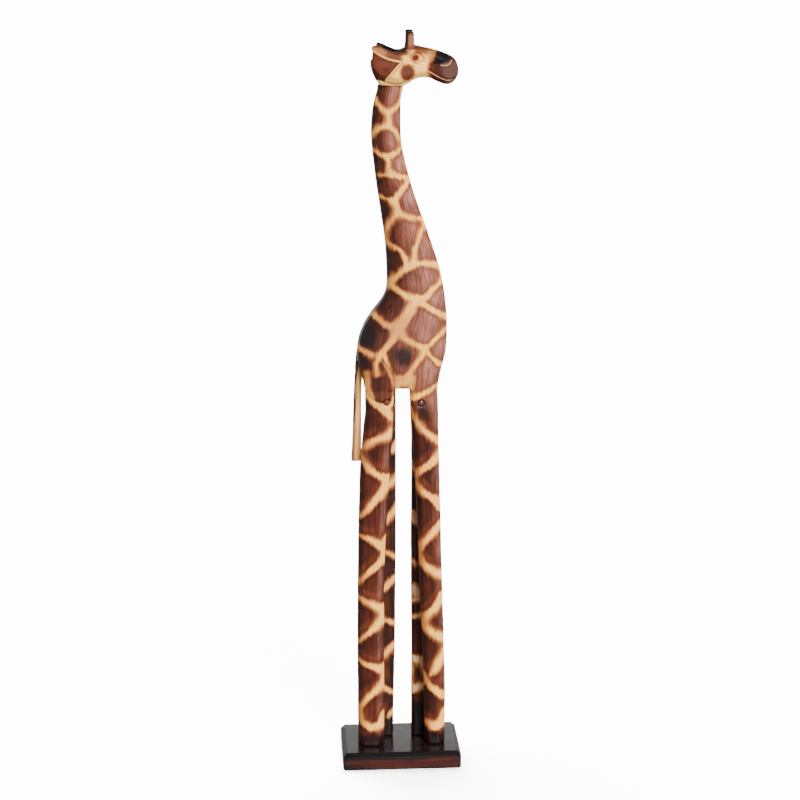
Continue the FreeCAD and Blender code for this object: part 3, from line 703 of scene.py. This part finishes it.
    # painted shade along the carved creases of the haunch, the tail root and the shoulder
    for pts, k in ((NET["haunch"], 0.75), (NET["haunch_low"], 0.75), (NET["tailroot"], 0.6), (NET["shoulder"], 0.35)):
        q = line_dist(x, z, pts)
        nick_and_crease_shade = np.maximum(nick_and_crease_shade, k * np.exp(-(q / 0.8) ** 2) * (np.abs(y) > 16))
    attr(ob, "nick_and_crease_shade", nick_and_crease_shade)
    xc = np.interp(z, ZC, XC)
    attr(ob, "grain", np.stack([x - xc, y, z], 1), "FLOAT_VECTOR")


BODY_MAT = body_material()
for n, ob in pieces.items():
    paint_body(ob, n)
    ob.data.materials.append(BODY_MAT)
    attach(ob, "root")
    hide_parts(n)
del F, trunk, legs


# ------------------------------------------------------------------ head
def colour_mix(base, col, w):
    w = np.clip(w, 0, 1)[:, None]
    return base * (1 - w) + np.array(col[:3])[None, :] * w


H = Grid((-44, -31, 924), (80, 31, 992), 0.55)
hf = blur(H.cad("head", 10.0), 2.0)
ay = np.abs(H.y)
hx, hz = np.meshgrid(H.x.ravel(), H.z.ravel(), indexing="ij")
NH = NET["head"]
side = smooth(5, 9, ay)


def inside_poly(px, pz, poly):
    r = np.zeros(px.shape, bool)
    n = len(poly)
    for i in range(n):
        (x0, z0), (x1, z1) = poly[i], poly[(i + 1) % n]
        c = ((z0 > pz) != (z1 > pz)) & (px < (x1 - x0) * (pz - z0) / (z1 - z0 + 1e-12) + x0)
        r ^= c
    return r


EAR = NH["ear1"] + NH["ear2"][1:] + [[-24, 934], [-60, 934], [-60, 977.3]]


def ear_depth(px, pz):
    """Signed distance into the ear panel: positive inside."""
    d = np.minimum(line_dist(px, pz, NH["ear1"]), line_dist(px, pz, NH["ear2"]))
    return np.where(inside_poly(px, pz, EAR), d, -d)


ed = ear_depth(hx, hz)
relief = 1.7 * smooth(-0.3, 1.0, ed) * (1 - 0.75 * smooth(2.0, 16.0, ed))
relief += 1.3 * np.exp(-(line_dist(hx, hz, NH["ear2"]) / 0.9) ** 2)
relief += 1.1 * np.exp(-(line_dist(hx, hz, NH["jaw"]) / 1.1) ** 2)
mouth = line_dist(hx, hz, NH["mouth"])
relief += 1.2 * np.exp(-(mouth / 0.9) ** 2)
nos = line_dist(hx, hz, NH["nostril"])
relief += 1.2 * np.exp(-((np.hypot(hx - 59, (hz - 959.6) * 1.4)) / 3.6) ** 2) - 0.6 * np.exp(-(nos / 0.9) ** 2)
ec = NH["eye_c"]
rim = np.minimum(line_dist(hx, hz, NH["eye_low"]), line_dist(hx, hz, NH["eye_up"]))
inside_eye = inside_poly(hx, hz, NH["eye_low"] + NH["eye_up"][::-1][1:-1])
relief += 1.2 * np.exp(-(rim / 0.85) ** 2) + np.where(inside_eye, 0.35, 0)
er = np.hypot(hx - ec[0], hz - ec[1])
relief += 0.8 * np.exp(-((er - 3.4) / 0.7) ** 2) - 0.5 * (1 - smooth(2.0, 3.2, er)) + 0.9 * np.exp(-(er / 0.8) ** 2)
hf += relief[:, None, :].astype(np.float32) * side
# slight waviness, a flat seat at the bottom and sockets for the horns
hf += 0.22 * value_noise(hf.shape, (16, 16, 16), 8) + 0.10 * value_noise(hf.shape, (7, 7, 7), 9)
hf = np.maximum(hf, 930.5 - H.z)
for s in (-1, 1):
    r = np.hypot(H.x - 12.3, H.y - s * 10.5)
    hf = np.maximum(hf, np.where(H.z > 962.2, 4.05 - r, -50).astype(np.float32))
head = H.mesh(hf, "head_visual")
v = coords(head)
x, y, z = v.T
ay = np.abs(y)
r3 = np.random.default_rng(5)
wob = 1.1 * np.sin(x * 0.9 + 1.3 * np.sin(z * 0.7)) * np.sin(z * 0.8 + y * 0.3)
CREAMH = tone(2.45, 1.22, 0.32)
c = np.tile(np.array(CREAMH[:3])[None, :], (len(v), 1))
# forehead gold fading into the cream face
c = colour_mix(c, tone(0.33, 0.112, 0.042), 0.97 * smooth(965, 973, z + wob) * smooth(10, 20, x))
c = colour_mix(c, tone(1.0, 0.40, 0.085), 0.85 * smooth(31, 38, x + wob) * (1 - smooth(44, 48, x)))
c = colour_mix(c, tone(0.52, 0.19, 0.075), 0.85 * smooth(-6, 4, x) * (1 - smooth(10, 16, x)) * smooth(966, 972, z))
# cheek patch
cc = NH["cheek_c"]
q = np.hypot((x - cc[0]) / 9.6, (z - cc[1]) / 10.8) + 0.06 * wob
c = colour_mix(c, tone(0.85, 0.32, 0.09), 0.8 * (1 - smooth(0.92, 1.30, q)))
c = colour_mix(c, tone(0.42, 0.13, 0.06), 1 - smooth(0.84, 1.04, q))
c = colour_mix(c, tone(0.255, 0.087, 0.058), 1 - smooth(0.58, 0.92, q))
# the eye: brown ring and dark pupil
e = np.hypot(x - ec[0], z - ec[1])
near_side = smooth(6, 9, ay)
c = colour_mix(c, lin(170, 98, 46), (1 - smooth(4.6, 7.4, e)) * near_side * 0.9)
c = colour_mix(c, lin(96, 38, 22), (1 - smooth(2.8, 4.2, e)) * near_side)
c = colour_mix(c, lin(28, 12, 9), (np.exp(-((e - 2.7) / 0.7) ** 2)) * near_side * 0.9)
rimv = np.minimum(line_dist(x, z, NH["eye_low"]), line_dist(x, z, NH["eye_up"]))
c = colour_mix(c, lin(112, 58, 28), np.exp(-(rimv / 0.8) ** 2) * near_side * 0.8)
# ear panel and the strip over it
edv = ear_depth(x, z)
c = colour_mix(c, tone(0.85, 0.33, 0.12), smooth(0.5, -1.5, edv) * smooth(-2, -14, x + wob) * smooth(958, 964, z))
strip = smooth(0.0, 1.5, z - np.interp(x, [-38, -28, -18, -8, 2], [978, 971, 966, 963, 961])) * (1 - smooth(2, 7, x))
c = colour_mix(c, tone(0.31, 0.116, 0.064), strip * smooth(-24, -15, x + 2 * wob) * (1 - smooth(-2, 7, x)))
c = colour_mix(c, tone(0.245, 0.074, 0.049), smooth(0.4, 1.8, edv + 0.3 * wob))
# painted shadow just inside the carved edge of the ear panel
c = colour_mix(c, tone(0.10, 0.038, 0.030), smooth(0.3, 0.9, edv) * (1 - smooth(1.2, 3.2, edv)) * 0.7)
c = colour_mix(c, tone(0.15, 0.05, 0.036), smooth(2, 6, edv) * smooth(0.0, 0.9, np.sin(x * 0.35 + z * 0.22) * 0.5 + 0.4 * np.sin(z * 0.31 - x * 0.12)) * 0.5)
# painted highlight: a pale line on the lit lip of each carved ear line, and painted shadow in the groove beside the
# lower one
for k, off in (("ear1", 1.0), ("ear2", 0.9)):
    dl = line_dist(x, z, [[p[0], p[1] + off] for p in NH[k]])
    c = colour_mix(c, lin(244, 190, 116), np.exp(-(dl / 0.75) ** 2) * near_side * 0.9)
dl = line_dist(x, z, [[p[0] + 1.4, p[1] - 0.2] for p in NH["ear2"]])
c = colour_mix(c, lin(60, 27, 17), np.exp(-(dl / 0.7) ** 2) * near_side * 0.8)
# crown and the notch between the ears are scorched black
crown = np.interp(x, [-40, -31, -25, -16, -4, 2, 8], [984, 982.5, 981, 976.5, 972.3, 973, 974])
c = colour_mix(c, tone(0.14, 0.052, 0.036), smooth(-5.0, -2.2, z - crown) * (x < 8) * near_side * 0.85)
c = colour_mix(c, lin(10, 6, 5), smooth(-1.8, -0.2, z - crown) * (x < 6) * smooth(-21, -17, y) )
c = colour_mix(c, lin(12, 7, 6), (1 - smooth(10.5, 13.5, ay)) * (1 - smooth(-8, -2, x)) * smooth(955, 960, z))
c = colour_mix(c, lin(40, 18, 13), (1 - smooth(6, 10, ay)) * smooth(5, 10, x) * smooth(2.0, 0.2, np.interp(x, [8, 30, 50, 60, 70], [978.5, 977, 973, 969.5, 965]) - z) * 0.85)
foretop = np.interp(x, [8, 30, 50, 60, 70], [978.5, 977, 973, 969.5, 965])
c = colour_mix(c, tone(0.12, 0.046, 0.033), smooth(2.2, 0.8, foretop - z) * smooth(12, 18, x) * 0.75)
# muzzle: brown where the burning starts, then black, with a painted greyish-pink sheen over the lower muzzle
edge_x = np.interp(z, [930, 940, 950, 957.5, 962.7, 974, 983], [43, 39.5, 35.5, 37, 41, 44.5, 45.5])
mz = x - edge_x + wob * 0.8
c = colour_mix(c, tone(0.60, 0.22, 0.06), smooth(-4.5, -0.5, mz))
c = colour_mix(c, tone(0.20, 0.06, 0.038), smooth(-0.8, 1.8, mz))
c = colour_mix(c, tone(0.12, 0.05, 0.040), smooth(2, 10, mz))
c = colour_mix(c, tone(0.027, 0.0235, 0.023), smooth(1.0, 4.0, mz) * smooth(955.5, 959.5, z + 0.06 * (x - 50)) * (1 - 0.75 * smooth(58, 66, x) * smooth(972, 962, z)))
# painted sheen on the lower muzzle
c = colour_mix(c, tone(0.235, 0.125, 0.102), smooth(12, 22, mz) * smooth(964, 956, z) * 0.85)
# painted highlights: a pale line on the lit lower lip of the mouth groove and along the nostril
mv = line_dist(x, z, [[p[0], p[1] - 0.9] for p in NH["mouth"]])
c = colour_mix(c, tone(1.6, 0.72, 0.34), np.exp(-(mv / 0.55) ** 2) * near_side * 0.8 * (1 - smooth(60, 70, x)))
nv = line_dist(x, z, [[p[0], p[1] - 0.4] for p in NH["nostril"]])
c = colour_mix(c, tone(1.7, 0.85, 0.45), np.exp(-(nv / 0.55) ** 2) * near_side * 0.85)
# painted highlight along the lower lip of the seat under the jaw, and painted shadow in the seat line
jv = line_dist(x, z, [[p[0], p[1] - 1.3] for p in NH["jaw"]])
c = colour_mix(c, lin(244, 196, 122), (1 - smooth(0.6, 2.0, jv)) * 0.8)
jv = line_dist(x, z, NH["jaw"])
c = colour_mix(c, lin(72, 34, 20), np.exp(-(jv / 0.7) ** 2) * 0.8)
attr(head, "tint", np.concatenate([c, np.ones((len(c), 1))], 1), "FLOAT_COLOR")
attr(head, "grain", v, "FLOAT_VECTOR")
head.data.materials.append(painted_material("head_wood_mat", coat=0.0, specular=0.08, along=0, amount=0.75))
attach(head, "root")
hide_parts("head")

# ------------------------------------------------------------------ horns
HORN_MAT = painted_material("horn_wood_mat", coat=0.0, specular=0.12, along=2, amount=0.9)
for s, n in ((-1, "horn_right"), (1, "horn_left")):
    K = Grid((3, s * 10.5 - 9, 958), (22, s * 10.5 + 9, 1004), 0.5)
    kf = blur(K.cad(n), 1.0) + 0.12 * value_noise(tuple(K.n), (8, 8, 20), 20 + s)
    ob = K.mesh(kf, n + "_visual")
    v = coords(ob)
    x, y, z = v.T
    c = np.tile(np.array(tone(0.60, 0.225, 0.135)[:3])[None, :], (len(v), 1))
    c = colour_mix(c, tone(0.22, 0.075, 0.050), smooth(0.2, 0.9, np.sin(x * 1.7 + 0.05 * z) * 0.5 + 0.5 * np.sin(y * 2.1 + 1)) * 0.7)
    c = colour_mix(c, tone(0.05, 0.03, 0.027), smooth(-2.7, -4.2, x - 12.3))
    c = colour_mix(c, tone(0.10, 0.040, 0.030), smooth(992.5, 996.0, z) * 0.7)
    c = colour_mix(c, tone(0.024, 0.0225, 0.0225), smooth(996.0, 997.6, z))
    c = colour_mix(c, lin(84, 40, 26), (1 - smooth(978, 984, z)) * 0.8)
    attr(ob, "tint", np.concatenate([c, np.ones((len(c), 1))], 1), "FLOAT_COLOR")
    attr(ob, "grain", v, "FLOAT_VECTOR")
    ob.data.materials.append(HORN_MAT)
    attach(ob, "root")
    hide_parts(n)

# ------------------------------------------------------------------ tail
K = Grid((-72, -9, 420), (-44, 9, 594), 0.6)
kf = blur(K.cad("tail"), 1.3) + 0.22 * value_noise(tuple(K.n), (9, 9, 30), 31)
for yy, zz, wdt in ((-2.2, 470, 0.5), (1.2, 455, 0.5), (2.6, 500, 0.4), (-0.8, 440, 0.6)):
    kf += 0.45 * np.exp(-((K.y - yy) / wdt) ** 2) * smooth(zz + 40, zz - 20, K.z)
tail = K.mesh(kf, "tail_visual")
v = coords(tail)
x, y, z = v.T
back = np.interp(z, [428, 450, 500, 545, 575, 586], [-66, -64.8, -63, -60.9, -59.2, -58])
u = x - back
c = np.tile(np.array(tone(2.9, 1.30, 0.37)[:3])[None, :], (len(v), 1))
c = colour_mix(c, tone(1.1, 0.45, 0.14), smooth(0.3, 0.9, 0.5 + 0.5 * np.sin(u * 1.4 + z * 0.02)) * 0.35)
c = colour_mix(c, tone(0.62, 0.26, 0.12), (1 - smooth(3.0, 5.4, u + 0.9 * np.sin(z * 0.13))) * 0.7)
c = colour_mix(c, tone(0.14, 0.06, 0.04), 1 - smooth(1.6, 3.6, u + 0.9 * np.sin(z * 0.11)))
c = colour_mix(c, lin(206, 150, 98), smooth(-0.5, -3.5, x + 51) * 0 + smooth(500, 440, z) * 0.25)
c = colour_mix(c, lin(96, 52, 38), smooth(0.5, 1.6, np.abs(y) - 3.8) * smooth(2.0, 5.0, 9 - u) * 0.25)
c = colour_mix(c, lin(80, 38, 24), np.exp(-((z - 508 - 3 * np.sin(u)) / 9) ** 2) * smooth(-4, 4, y) * 0.8)
c = colour_mix(c, lin(60, 27, 18), smooth(566, 580, z))
c = colour_mix(c, lin(150, 90, 50), smooth(432, 428, z) * 0.6)
attr(tail, "tint", np.concatenate([c, np.ones((len(c), 1))], 1), "FLOAT_COLOR")
attr(tail, "grain", v, "FLOAT_VECTOR")
tail.data.materials.append(painted_material("tail_wood_mat", along=2, amount=0.5))
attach(tail, "root")
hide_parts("tail")


# ------------------------------------------------------------------ board
def make_board():
    L, W, T = 163.0, 110.0, 23.5
    bm = bmesh.new()
    rc, ch = 5.0, 5.5
    # rings from the underside up: inset, z
    rings = [(1.0, 0.0), (0.3, 0.25), (0.0, 1.0), (0.0, T - ch - 0.5), (0.06, T - ch - 0.1), (0.35, T - ch + 0.3), (0.9, T - ch + 0.85), (4.7, T - 0.75), (5.2, T - 0.28), (5.7, T - 0.05), (6.3, T)]
    loops = []
    for inset, zz in rings:
        pts = []
        r = max(rc - inset * 0.55, 1.6)
        cx, cy = L / 2 - inset - r, W / 2 - inset - r
        for qx, qy, a0 in ((1, 1, 0), (-1, 1, 90), (-1, -1, 180), (1, -1, 270)):
            for i in range(7):
                a = math.radians(a0 + i * 15)
                pts.append((qx * cx + r * math.cos(a), qy * cy + r * math.sin(a)))
        loops.append([bm.verts.new((px / 1000, py / 1000, zz / 1000)) for px, py in pts])
    n = len(loops[0])
    for a, b in zip(loops[:-1], loops[1:]):
        for i in range(n):
            f = bm.faces.new((a[i], a[(i + 1) % n], b[(i + 1) % n], b[i]))
            f.smooth = True
    bm.faces.new(list(reversed(loops[0])))
    bm.faces.new(loops[-1])
    me = bpy.data.meshes.new("base_board_visual")
    bm.normal_update()
    bm.to_mesh(me)
    bm.free()
    ob = bpy.data.objects.new("base_board_visual", me)
    bpy.context.scene.collection.objects.link(ob)
    return ob


base = make_board()
bpy.context.view_layer.objects.active = base
# screw seats under the board
SCREWS = [(-41.25, -17.3), (47.0, -15.5), (-25.7, 17.0), (31.55, 16.25)]
bm = bmesh.new()
for sx, sy in SCREWS:
    for r, z0, z1 in ((4.6, -1.0, 4.0), (2.0, 3.5, 30.0)):
        res = bmesh.ops.create_cone(bm, cap_ends=True, segments=32, radius1=r / 1000, radius2=r / 1000, depth=(z1 - z0) / 1000)
        for vv in res["verts"]:
            vv.co += Vector((sx / 1000, sy / 1000, (z0 + z1) / 2000))
cut_me = bpy.data.meshes.new("cut")
bm.to_mesh(cut_me)
bm.free()
cutter = bpy.data.objects.new("cut", cut_me)
bpy.context.scene.collection.objects.link(cutter)
mod = base.modifiers.new("seats", "BOOLEAN")
mod.operation = "DIFFERENCE"
mod.solver = "EXACT"
mod.use_self = True
mod.object = cutter
dg = bpy.context.evaluated_depsgraph_get()
newme = bpy.data.meshes.new_from_object(base.evaluated_get(dg))
base.modifiers.clear()
base.data = newme
bpy.data.objects.remove(cutter)
# finer faces so the edge colouring has somewhere to live
bm = bmesh.new()
bm.from_mesh(base.data)
bmesh.ops.triangulate(bm, faces=[f for f in bm.faces if len(f.verts) > 4])
for lim in (0.02, 0.012, 0.008):
    bmesh.ops.subdivide_edges(bm, edges=[e for e in bm.edges if e.calc_length() > lim], cuts=1, use_grid_fill=True)
    bmesh.ops.triangulate(bm, faces=[f for f in bm.faces if len(f.verts) > 4])
bm.to_mesh(base.data)
bm.free()
v = coords(base)
x, y, z = v.T
inset = np.minimum(81.5 - np.abs(x), 55 - np.abs(y))
attr(base, "topness", smooth(19.5, 22.0, z))
ring = smooth(16.6, 18.0, z) * (1 - smooth(5.2, 6.4, inset))
corner = (1 - smooth(1.5, 5.0, np.maximum(81.5 - np.abs(x), 55 - np.abs(y)))) * 0.9
low = 1 - smooth(0.5, 2.5, z)
attr(base, "edge", np.clip(np.maximum(np.maximum(ring * 1.0, corner), low * 0.8), 0, 1))
base.data.materials.append(base_material())
bevel = Mat("board_bevel", roughness=0.45, coat=0.0, specular=0.05)
bg_ = bevel.noise(bevel.t.nodes.new("ShaderNodeTexCoord").outputs["Object"], 1000.0, 4.0, 0.6, (0.012, 0.5, 0.5))
bevel.out(bevel.ramp(bg_, [(0.35, tone(0.034, 0.0245, 0.0235)), (0.65, tone(0.024, 0.0222, 0.0222))]), bg_, distance=0.0001, strength=0.4)
base.data.materials.append(bevel.m)
for f in base.data.polygons:
    fx, fy, fz = (abs(f.center.x) * 1000, abs(f.center.y) * 1000, f.center.z * 1000)
    if 17.7 < fz < 23.35 and f.normal.z < 0.95 and abs(f.normal.x) < 0.5 and min(81.5 - fx, 55 - fy) < 5.6:
        f.material_index = 1
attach(base, "root")
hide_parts("base_board")


# ------------------------------------------------------------------ pegs, dowel, pins, screws
def copy_node(node, mat, smooth_faces=True):
    src = NODES[node]
    me = src.data.copy()
    me.materials.clear()
    me.materials.append(mat)
    ob = bpy.data.objects.new(node + "_visual", me)
    bpy.context.scene.collection.objects.link(ob)
    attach(ob, "root")
    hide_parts(node)
    return ob


PEG = plain_material("peg_wood_mat", (64, 32, 24), roughness=0.3, coat=0.6, coat_rough=0.1)
RAW = plain_material("raw_dowel_mat", (205, 168, 120), roughness=0.7)
STEEL = plain_material("pin_steel_mat", (150, 146, 140), roughness=0.35, metallic=1.0)
ZINC = plain_material("screw_zinc_mat", (196, 192, 180), roughness=0.3, metallic=1.0)


def peg(name, x, z, mat, half=32.55):
    bm = bmesh.new()
    n, prof = 32, [(0.0, 0), (2.0, 0.12), (3.2, 0.55), (3.75, 1.2), (3.9, 2.2)]
    rows = []
    for r, d in prof[1:]:
        rows.append([bm.verts.new(((x + r * math.cos(a)) / 1000, -(half - d) / 1000, (z + r * math.sin(a)) / 1000)) for a in [2 * math.pi * i / n for i in range(n)]])
    for r, d in reversed(prof[1:]):
        rows.append([bm.verts.new(((x + r * math.cos(a)) / 1000, (half - d) / 1000, (z + r * math.sin(a)) / 1000)) for a in [2 * math.pi * i / n for i in range(n)]])
    for a, b in zip(rows[:-1], rows[1:]):
        for i in range(n):
            bm.faces.new((a[i], b[i], b[(i + 1) % n], a[(i + 1) % n])).smooth = True
    c0 = bm.verts.new((x / 1000, -half / 1000, z / 1000))
    c1 = bm.verts.new((x / 1000, half / 1000, z / 1000))
    for i in range(n):
        bm.faces.new((c0, rows[0][i], rows[0][(i + 1) % n])).smooth = True
        bm.faces.new((c1, rows[-1][(i + 1) % n], rows[-1][i])).smooth = True
    bmesh.ops.recalc_face_normals(bm, faces=bm.faces)
    me = bpy.data.meshes.new(name + "_visual")
    bm.to_mesh(me)
    bm.free()
    ob = bpy.data.objects.new(name + "_visual", me)
    bpy.context.scene.collection.objects.link(ob)
    me.materials.append(mat)
    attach(ob, "root")
    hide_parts(name)


peg("hip_peg", -19.2, 515.0, plain_material("hip_peg_mat", (92, 44, 26), roughness=0.5, specular=0.2), 31.9)
peg("shoulder_peg", 26.0, 514.0, PEG, 32.9)
copy_node("neck_dowel", RAW)
copy_node("tail_pins", STEEL)
copy_node("base_screws", ZINC)

# ------------------------------------------------------------------ floor, camera, light
bpy.ops.mesh.primitive_plane_add(size=80, location=(0, 0, 0))
floor = bpy.context.object
floor.name = "floor"
fm = Mat("floor_mat", roughness=0.9, specular=0.2)
fm.bsdf.inputs["Base Color"].default_value = (0.96, 0.96, 0.96, 1)
floor.data.materials.append(fm.m)
floor.visible_glossy = False
floor.visible_diffuse = False
# a plain white wall all round, seen by the camera only
bpy.ops.mesh.primitive_uv_sphere_add(segments=48, ring_count=24, radius=38, location=(0, 0, 0))
wall = bpy.context.object
wall.name = "wall"
wm = Mat("wall_mat")
wm.bsdf.inputs["Base Color"].default_value = (0, 0, 0, 1)
wm.bsdf.inputs["Emission Color"].default_value = (1, 1, 1, 1)
wm.bsdf.inputs["Emission Strength"].default_value = 14.0
wall.data.materials.append(wm.m)
wall.visible_diffuse = wall.visible_glossy = wall.visible_transmission = wall.visible_shadow = False

scene = bpy.context.scene
cam_data = bpy.data.cameras.new("camera")
cam_data.lens = 90.18
cam_data.sensor_width = 36
cam = bpy.data.objects.new("camera", cam_data)
scene.collection.objects.link(cam)
cam.location = (-0.1614, -2.5950, 1.180)
cam.rotation_euler = (Vector((0, 0, 0.511)) - Vector(cam.location)).to_track_quat("-Z", "Y").to_euler()
cam_data.clip_end = 200
scene.camera = cam


def area(name, loc, target, size, power, color=(1, 1, 1), size_y=None):
    d = bpy.data.lights.new(name, "AREA")
    d.energy = power
    d.color = color
    d.shape = "RECTANGLE"
    d.size = size
    d.size_y = size_y or size
    ob = bpy.data.objects.new(name, d)
    scene.collection.objects.link(ob)
    ob.location = loc
    ob.rotation_euler = (Vector(target) - Vector(loc)).to_track_quat("-Z", "Y").to_euler()
    return ob


def sun(name, direction, strength, angle, color=(1, 1, 1)):
    d = bpy.data.lights.new(name, "SUN")
    d.energy = strength
    d.angle = math.radians(angle)
    d.color = color
    ob = bpy.data.objects.new(name, d)
    scene.collection.objects.link(ob)
    ob.rotation_euler = (-Vector(direction)).to_track_quat("-Z", "Y").to_euler()
    ob.location = Vector(direction).normalized() * 3
    return ob


sun("key", (0.32, -0.95, 0.78), 8.6, 26, (1.0, 0.985, 0.96))
sun("rear_fill", (-0.45, 1.0, 0.55), 2.4, 60, (1.0, 0.99, 0.97)).visible_glossy = False
area("soft_front", (0.95, -2.3, 0.95), (0, 0, 0.6), 0.5, 20, (1.0, 0.98, 0.99), 1.6)
area("strip_right", (1.6, -0.35, 0.7), (0, 0, 0.6), 0.35, 5, (1.0, 0.99, 1.0), 1.9)
area("strip_left", (-1.5, -1.3, 0.9), (0, 0, 0.55), 0.3, 1, (0.96, 0.97, 1.0), 1.9)
back = area("backdrop_glow", (0.05, 1.7, 0.42), (0, 0, 0.05), 1.7, 3.2, (1, 1, 1), 0.75)
back.visible_camera = False
# a light for the floor alone, so the ground reads as clean studio white
floor_light = sun("floor_light", (-0.2, 0.5, 1.0), 45.0, 60)
only_floor = bpy.data.collections.new("only_floor")
only_floor.objects.link(floor)
no_blockers = bpy.data.collections.new("no_blockers")
floor_light.light_linking.receiver_collection = only_floor
floor_light.light_linking.blocker_collection = no_blockers
world = bpy.data.worlds.new("world") if scene.world is None else scene.world
scene.world = world
world.use_nodes = True
bg = world.node_tree.nodes.get("Background")
bg.inputs[0].default_value = (1, 1, 1, 1)
bg.inputs[1].default_value = 0.42
